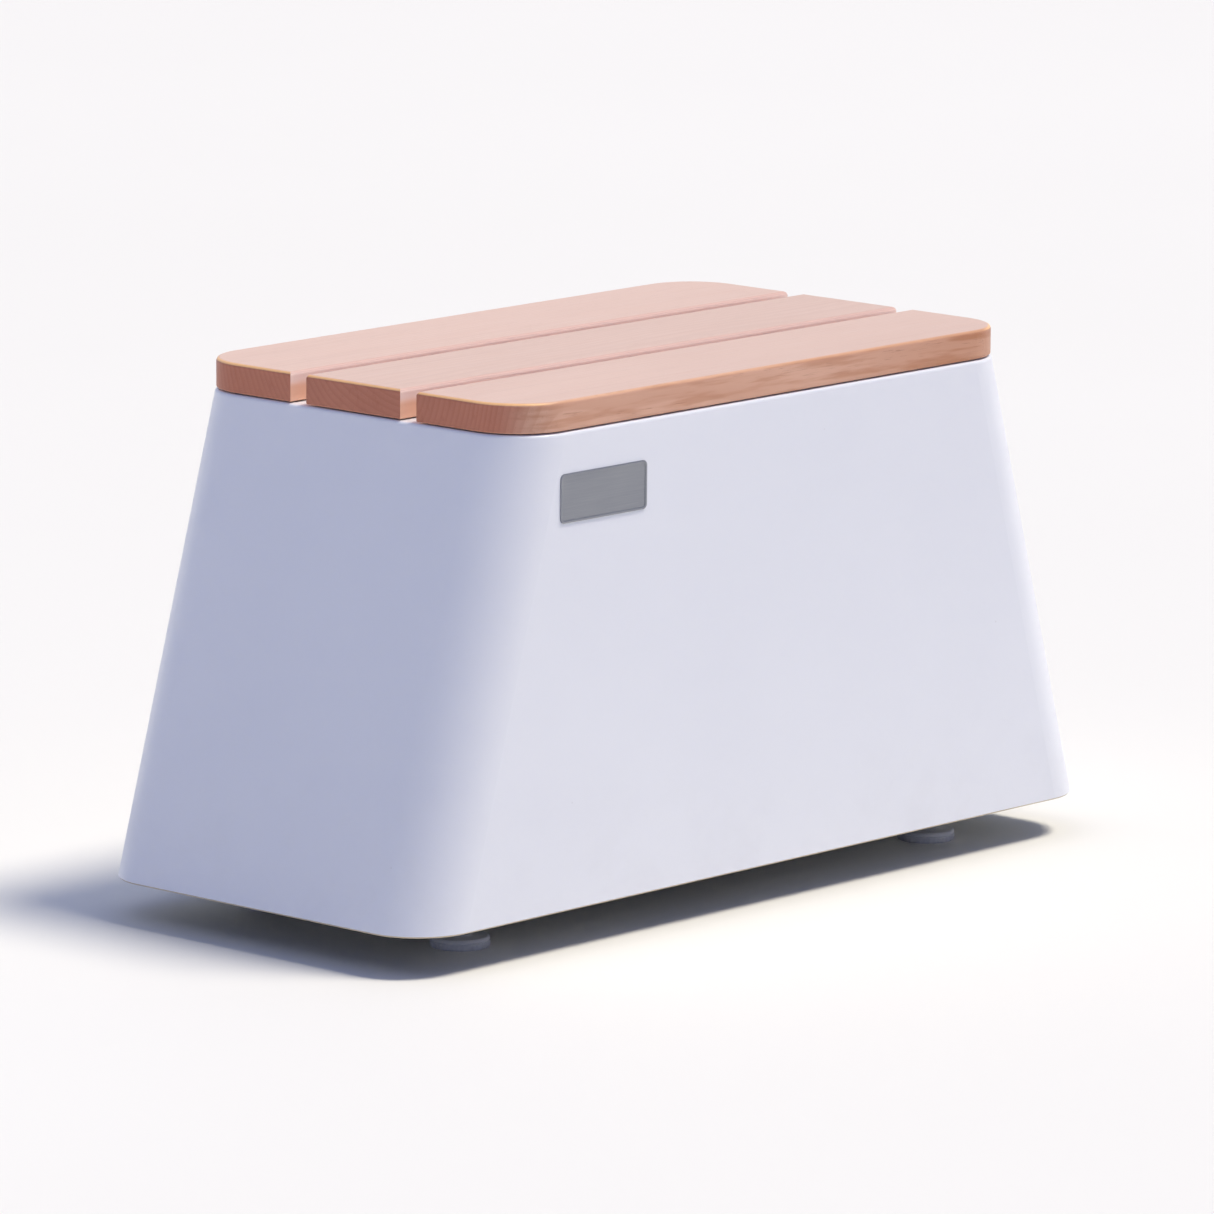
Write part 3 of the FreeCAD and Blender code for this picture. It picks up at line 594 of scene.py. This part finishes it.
def build_stud(corner, material):
    """The threaded stud with its spanner hexagon, neck and swivel pin."""
    node = f"foot_stud_{corner}"
    low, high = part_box(node)
    centre = (low + high) / 2
    spanner_side = (high.x - low.x) / 2
    waist = PIN_RADIUS - 0.9 * MM
    rings = lathed((
        (PIN_RADIUS - 0.8 * MM, low.z),
        (PIN_RADIUS, low.z + 0.8 * MM),
        (PIN_RADIUS, low.z + 2.4 * MM),
        (waist, low.z + 3.2 * MM),
        (waist, low.z + 4.6 * MM),
        (PIN_RADIUS, low.z + 5.4 * MM),
        (PIN_RADIUS, SPANNER_LOW),
    ))
    rings += nut_rings(spanner_side, SPANNER_LOW, SPANNER_HIGH, NUT_CHAMFER)
    relief = THREAD_RADIUS - 0.9 * MM
    rings += lathed(((relief, SPANNER_HIGH), (relief, SPANNER_HIGH + 1.0 * MM)))
    rings += thread_rings(THREAD_RADIUS, THREAD_PITCH, SPANNER_HIGH + 1.6 * MM, high.z - 1.2 * MM)
    tip = THREAD_RADIUS - 1.8 * MM
    rings += lathed(((tip + 0.7 * MM, high.z - 0.9 * MM), (tip, high.z)))
    shape = moved(skin(rings), (centre.x, centre.y, 0.0))
    new_piece(f"stud_{corner}", [shape], material, f"stud_{corner}", [node])


def skirt_rings(outer, floor):
    """The pad's ribbed skirt: a chamfered lower edge, ribs, a groove and a domed rim."""

    def ribbed(angle):
        return outer - RIB_DEPTH * (1 - abs(math.cos(SKIRT_RIBS * angle / 2)))

    groove = outer - 0.9 * MM
    lip = outer - 0.25 * MM
    rings = lathed(((outer - 3.4 * MM, floor), (outer - 0.7 * MM, floor)), PAD_SEGMENTS)
    rings += [ring(ribbed, floor + height, PAD_SEGMENTS) for height in (0.7 * MM, 4.2 * MM)]
    profile = [(groove, floor + 4.7 * MM), (groove, floor + 5.3 * MM)]
    for k in range(7):
        angle = math.radians(15 * k)
        radius = lip - SKIRT_RIM * (1 - math.cos(angle))
        profile.append((radius, floor + SKIRT_HEIGHT - SKIRT_RIM * (1 - math.sin(angle))))
    return rings + lathed(profile, PAD_SEGMENTS)


def build_pad(corner, material):
    """The foot's pad: a ribbed skirt with a sunk underside, and a raised collar round the cup."""
    node = f"foot_pad_{corner}"
    low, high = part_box(node)
    centre = (low + high) / 2
    outer = (high.x - low.x) / 2
    sunk = low.z + 0.6 * MM
    top = low.z + SKIRT_HEIGHT
    rings = lathed(((CUP_RADIUS / 2, sunk), (outer - 4.0 * MM, sunk)), PAD_SEGMENTS)
    rings += skirt_rings(outer, low.z)
    rings += lathed((
        (COLLAR_RADIUS + 1.4 * MM, top),
        (COLLAR_RADIUS + 0.3 * MM, top + 0.3 * MM),
        (COLLAR_RADIUS, high.z - 0.3 * MM),
        (COLLAR_RADIUS - 0.3 * MM, high.z),
        (CUP_RADIUS + 0.4 * MM, high.z),
        (CUP_RADIUS, high.z - 0.4 * MM),
        (CUP_RADIUS, low.z + 2.5 * MM),
    ), PAD_SEGMENTS)
    shape = moved(skin(rings), (centre.x, centre.y, 0.0))
    new_piece(f"pad_{corner}_ribbed", [shape], material, f"pad_{corner}", [node])


def build_jam_nut(corner, material):
    """The nut that locks the stud against its insert."""
    node = f"foot_nut_{corner}"
    low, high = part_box(node)
    centre = (low + high) / 2
    side = (high.x - low.x) / 2
    bore = THREAD_RADIUS + 0.05 * MM
    countersink = 0.7 * MM
    rings = nut_rings(side, low.z, high.z, NUT_CHAMFER)
    rings += lathed((
        (bore + countersink, high.z),
        (bore, high.z - countersink),
        (bore, low.z + countersink),
        (bore + countersink, low.z),
    ))
    shape = moved(skin(rings, loop=True), (centre.x, centre.y, 0.0))
    new_piece(f"jam_nut_{corner}", [shape], material, STEP, [node])


# ---------------------------------------------------------------- screws, welds and bonding

SCREW_SEGMENTS = 36
BARS = ("tread_bar_left", "tread_bar_centre", "tread_bar_right")
SCREW_ROWS = (-108 * MM, -76 * MM, -30 * MM, 30 * MM, 76 * MM, 108 * MM)
TUBE_EDGE = 2.0 * MM
# how far the legs lean out for each metre down
LEAN = 0.29
WELD = {"reach": 2.8 * MM, "pitch": 1.8 * MM, "depth": 0.14}
RESIN = {"reach": 3.2 * MM, "pitch": 8.0 * MM, "depth": 0.22}
RESIN_OVERRUN = 1.6 * MM


def button_screw(head_radius, head_height, shank_radius, shank_length, socket_side):
    """A button-head screw with a hexagon socket. Its head hangs below the origin, its shank stands up."""
    rings = [
        ring(circle(0.4 * socket_side), -0.42 * head_height, SCREW_SEGMENTS),
        ring(hexagon(socket_side), -0.5 * head_height, SCREW_SEGMENTS),
        ring(hexagon(socket_side), 0.2 * MM - head_height, SCREW_SEGMENTS),
    ]
    brim = socket_side + 0.5 * MM
    profile = []
    for k in range(7):
        angle = math.radians(15 * k)
        radius = brim + (head_radius - brim) * math.sin(angle)
        profile.append((radius, head_height * (0.8 * (1 - math.cos(angle)) - 1)))
    profile += [
        (head_radius - 0.15 * MM, 0.0),
        (shank_radius, 0.0),
        (shank_radius, shank_length - 1.5 * MM),
        (0.4 * shank_radius, shank_length),
    ]
    return skin(rings + lathed(profile, SCREW_SEGMENTS))


def turned_over(shape):
    """The shape, half a turn about X."""
    points, faces = shape
    return [Vector((point.x, -point.y, -point.z)) for point in points], faces


def build_tread_screws(material):
    """The screws that come up through the bars into the slats, with their heads below."""
    low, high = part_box("tread_screws")
    head_height = 3.0 * MM
    one = button_screw(4.75 * MM, head_height, 2.5 * MM, high.z - low.z - head_height, 1.7 * MM)
    shapes = []
    for bar in BARS:
        bar_low, bar_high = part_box(bar)
        x = (bar_low.x + bar_high.x) / 2
        shapes += [moved(one, (x, y, low.z + head_height)) for y in SCREW_ROWS]
    new_piece("tread_screws_button", shapes, material, STEP, ["tread_screws"])


def build_bracket_screws(material):
    """The screws that hold the brackets down on the base rails."""
    low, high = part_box("bracket_screws")
    head_height = 3.3 * MM
    head_radius = 5.25 * MM
    upright = button_screw(head_radius, head_height, 3.0 * MM, high.z - low.z - head_height, 1.8 * MM)
    one = turned_over(upright)
    shapes = []
    for x in (low.x + head_radius, high.x - head_radius):
        for y in (low.y + head_radius, high.y - head_radius):
            shapes.append(moved(one, (x, y, high.z - head_height)))
    new_piece("bracket_screws_button", shapes, material, STEP, ["bracket_screws"])


def bead(start, end, first, second, reach, pitch, depth):
    """A rippled bead from start to end, in the corner between the directions first and second."""
    start, first, second = Vector(start), Vector(first), Vector(second)
    run = Vector(end) - start
    along = run.normalized()
    if along.dot(first.cross(second)) < 0:
        first, second = second, first
    steps = 4 * max(2, round(run.length / pitch))
    rings = []
    for step in range(steps + 1):
        corner = start + run * (step / steps)
        nearness = min(step, steps - step, 5) / 5
        ripple = 1 - depth * abs(math.sin(math.pi * step / 4))
        size = reach * (0.4 + 0.6 * nearness) * ripple
        level = [corner]
        for k in range(7):
            angle = math.radians(15 * k)
            outward = first * math.cos(angle) + second * math.sin(angle)
            lag = 0.25 * reach * nearness * math.sin(2 * angle)
            level.append(corner + size * outward - along * lag)
        rings.append(level)
    return skin(rings)


def reach_from_middle(node):
    """The smallest and the largest distance of a node from the middle, along X."""
    low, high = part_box(node)
    return sorted((abs(low.x), abs(high.x)))


def leg_welds(corner, out, row_low, row_high):
    """The welds across the inner face of one leaning leg, at its foot and at its head."""
    low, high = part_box(f"frame_leg_{corner}")
    near, far = reach_from_middle(f"frame_leg_{corner}")
    width = high.x - low.x - LEAN * (high.z - low.z)
    welds = []
    for x, z, up in ((far - width, low.z, 1), (near, high.z, -1)):
        start, end = (out * x, row_low, z), (out * x, row_high, z)
        welds.append(bead(start, end, (-out, 0, 0), (-out * up * LEAN, 0, up), **WELD))
    return welds


def rail_weld(node, out, facing, y, inner):
    """An upright weld where one side of a short rail meets a long rail's inner face."""
    low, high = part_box(node)
    near, far = reach_from_middle(node)
    x = out * (far if facing > 0 else near)
    start, end = (x, y, low.z + TUBE_EDGE), (x, y, high.z - TUBE_EDGE)
    return bead(start, end, (out * facing, 0, 0), inner, **WELD)


def bar_weld(bar, y, inner):
    """A weld along the underside of a flat bar, where it crosses a long rail's inner face."""
    low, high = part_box(bar)
    return bead((low.x, y, low.z), (high.x, y, low.z), inner, (0, 0, -1), **WELD)


def build_welds(material):
    """Weld beads where the tubes and bars of the frame meet."""
    shapes = []
    for row, back in (("front", -1), ("rear", 1)):
        rail_low, rail_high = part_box(f"frame_top_rail_{row}")
        face_y = back * min(abs(rail_low.y), abs(rail_high.y))
        inner = (0, -back, 0)
        for side, out in (("left", -1), ("right", 1)):
            shapes.append(rail_weld(f"frame_end_rail_{side}", out, -1, face_y, inner))
            cross_rail = f"frame_cross_rail_{side}"
            shapes += [rail_weld(cross_rail, out, facing, face_y, inner) for facing in (-1, 1)]
            shapes += leg_welds(f"{row}_{side}", out, rail_low.y + TUBE_EDGE, rail_high.y - TUBE_EDGE)
        shapes += [bar_weld(bar, face_y, inner) for bar in BARS]
    new_piece("weld_beads", shapes, material, STEP, [], sharp=70.0)


def build_bonding(material):
    """Resin squeezed out round the leaf of each bracket, where it is bonded to the shell."""
    shapes = []
    for corner in CORNERS:
        back = -1 if corner.startswith("front") else 1
        low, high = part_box(f"shell_bracket_{corner}")
        y = back * max(abs(low.y), abs(high.y))
        edges = (
            ((low.x, y, low.z), (low.x, y, high.z), (-1, 0, 0)),
            ((high.x, y, low.z), (high.x, y, high.z), (1, 0, 0)),
            ((low.x - RESIN_OVERRUN, y, high.z), (high.x + RESIN_OVERRUN, y, high.z), (0, 0, 1)),
        )
        shapes += [bead(start, end, outward, (0, -back, 0), **RESIN) for start, end, outward in edges]
    new_piece("bonding_beads", shapes, material, STEP, [], sharp=70.0)


# ---------------------------------------------------------------- name plate


def rounded_rectangle(length, height, corner, arc=8):
    """Points round a rectangle with rounded corners, centred on the origin, in anticlockwise order."""
    points = []
    for quarter in range(4):
        side_x = 1 if quarter in (0, 3) else -1
        side_z = 1 if quarter in (0, 1) else -1
        for k in range(arc + 1):
            angle = math.pi / 2 * (quarter + k / arc)
            x = side_x * (length / 2 - corner) + corner * math.cos(angle)
            z = side_z * (height / 2 - corner) + corner * math.sin(angle)
            points.append((x, z))
    return points


def build_name_plate(material):
    """A blank plate: rounded edge, raised rim and a sunk field with nothing on it."""
    low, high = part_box("name_plate")
    centre = (low + high) / 2
    length, height = high.x - low.x, high.z - low.z
    corner = 4.0 * MM
    levels = (
        (0.0, high.y),
        (0.0, low.y + 0.45 * MM),
        (0.13 * MM, low.y + 0.13 * MM),
        (0.45 * MM, low.y),
        (1.7 * MM, low.y),
        (2.0 * MM, low.y + 0.12 * MM),
        (2.1 * MM, low.y + 0.45 * MM),
    )
    rings = []
    for inset, depth in levels:
        outline = rounded_rectangle(length - 2 * inset, height - 2 * inset, corner - 0.8 * inset)
        rings.append([Vector((centre.x + x, depth, centre.z + z)) for x, z in outline])
    new_piece("name_plate_blank", [skin(rings)], material, STEP, ["name_plate"])


# ---------------------------------------------------------------- dressing the CAD nodes


def dress(material, *starts):
    """Gives a material to every CAD node whose name begins with one of these words."""
    for name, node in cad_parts.items():
        if name.startswith(starts):
            node.data.materials.clear()
            node.data.materials.append(material)


def make_metals():
    """The metal finishes, by name."""
    stainless = ((0.50, 0.50, 0.50), (0.70, 0.69, 0.67), (300, 300, 2400), 0.24)
    zinc = ((0.50, 0.51, 0.53), (0.72, 0.73, 0.74), (500, 500, 1400), 0.30)
    aluminium = ((0.58, 0.59, 0.60), (0.78, 0.79, 0.80), (20, 900, 900), 0.34)
    return {
        "stainless": worked_metal("stainless_worked", *stainless),
        "zinc": worked_metal("zinc_plated", *zinc),
        "aluminium": worked_metal("bracket_aluminium", *aluminium),
        "galvanised": galvanised_material(),
    }


def dress_nodes(metals):
    """Gives every CAD node its finish."""
    low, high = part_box("body_shell")
    dress(shell_material((low + high) / 2), "body_shell")
    for seed, (name, tone) in enumerate(zip(SLATS, (1.0, 0.97, 1.02)), start=1):
        dress(wood_material(f"wood_{name}", seed, tone), name)
    dress(rubber_material(), "slat_strips")
    dress(plug_material(), "top_rail_plugs", "base_rail_plugs")
    dress(metals["galvanised"], "frame_", "tread_bar")
    dress(metals["stainless"], "tread_washers")
    dress(metals["zinc"], "bracket_rivet_nuts", "foot_insert")
    dress(metals["aluminium"], "shell_bracket")


def build_details(metals):
    """The pieces that stand for plain CAD nodes, and the beads of weld and resin."""
    nylon = pad_material()
    for corner in CORNERS:
        build_stud(corner, metals["stainless"])
        build_jam_nut(corner, metals["zinc"])
        build_pad(corner, nylon)
    build_tread_screws(metals["stainless"])
    build_bracket_screws(metals["stainless"])
    build_welds(metals["galvanised"])
    build_bonding(resin_material())
    build_name_plate(plate_material())


# ---------------------------------------------------------------- studio

CAMERA_PLACE = Vector((-5.135, -4.662, 1.5))
CAMERA_LENS = 280.0
CAMERA_ROLL = 0.4
FLOOR_REACH = 45.0
SUN_FROM = Vector((0.34, -0.275, 0.90))
FILL_FROM = Vector((-0.60, -0.05, 0.55))
FILL_PLACE = Vector((-0.90, -0.05, 0.80))
BACKDROP_TOWARDS = Vector((0.74, 0.67, 0.0))


def look_along(thing, direction):
    """Points a lamp along a direction."""
    thing.rotation_euler = direction.to_track_quat("-Z", "Y").to_euler()


def add_floor():
    """A wide round floor at the level that the feet stand on."""
    rings = lathed((FLOOR_REACH * share, 0.0) for share in (0.02, 0.1, 0.4, 1.0))
    points, faces = skin(rings)
    mesh = bpy.data.meshes.new("floor")
    mesh.from_pydata(points, [], faces[:-1])
    mesh.materials.append(floor_material())
    floor = bpy.data.objects.new("floor", mesh)
    bpy.context.scene.collection.objects.link(floor)


def add_light(name, kind, power, direction, colour, **settings):
    """A lamp whose light comes from a direction."""
    lamp = bpy.data.lights.new(name, kind)
    lamp.energy = power
    lamp.color = colour
    for setting, value in settings.items():
        setattr(lamp, setting, value)
    thing = bpy.data.objects.new(name, lamp)
    bpy.context.scene.collection.objects.link(thing)
    look_along(thing, -direction)
    return thing


def add_lights():
    """A high warm key from the front right, and a weak cool fill from the left."""
    add_light("key", "SUN", 3.12, SUN_FROM, (1.0, 0.945, 0.835), angle=math.radians(17))
    fill = add_light("fill", "AREA", 0.42, FILL_FROM, (0.80, 0.86, 1.0), size=0.4)
    fill.location = FILL_PLACE
    fill.visible_camera = False


def add_sky():
    """A dim cool sky, with a lit backdrop low behind the step."""
    world = bpy.data.worlds.new("studio")
    world.use_nodes = True
    graph = Graph(world.node_tree)
    behind = graph.dot(graph.whole, tuple(BACKDROP_TOWARDS))
    low = graph.span(graph.split(graph.whole)[2], 0.75, 0.25)
    share = graph.times(low, graph.span(behind, 0.2, 0.75))
    colour = graph.mix(share, (0.205, 0.25, 0.46), (0.86, 0.90, 1.0))
    graph.put(graph.nodes["Background"].inputs["Color"], colour)
    bpy.context.scene.world = world


def add_camera():
    """A long lens far off the left front corner, a little above the tread, aimed at the step's middle."""
    low, high = cad_box
    centre = (Vector(low) + Vector(high)) / 2
    data = bpy.data.cameras.new("camera")
    data.lens = CAMERA_LENS
    data.clip_end = 200.0
    camera = bpy.data.objects.new("camera", data)
    bpy.context.scene.collection.objects.link(camera)
    camera.location = CAMERA_PLACE
    aim = (centre - CAMERA_PLACE).to_track_quat("-Z", "Y")
    roll = Quaternion((0.0, 0.0, 1.0), math.radians(CAMERA_ROLL))
    camera.rotation_euler = (aim @ roll).to_euler()
    bpy.context.scene.camera = camera


# ---------------------------------------------------------------- the scene

metals = make_metals()
dress_nodes(metals)
build_details(metals)
add_floor()
add_lights()
add_sky()
add_camera()
bpy.context.scene.view_settings.view_transform = "Standard"
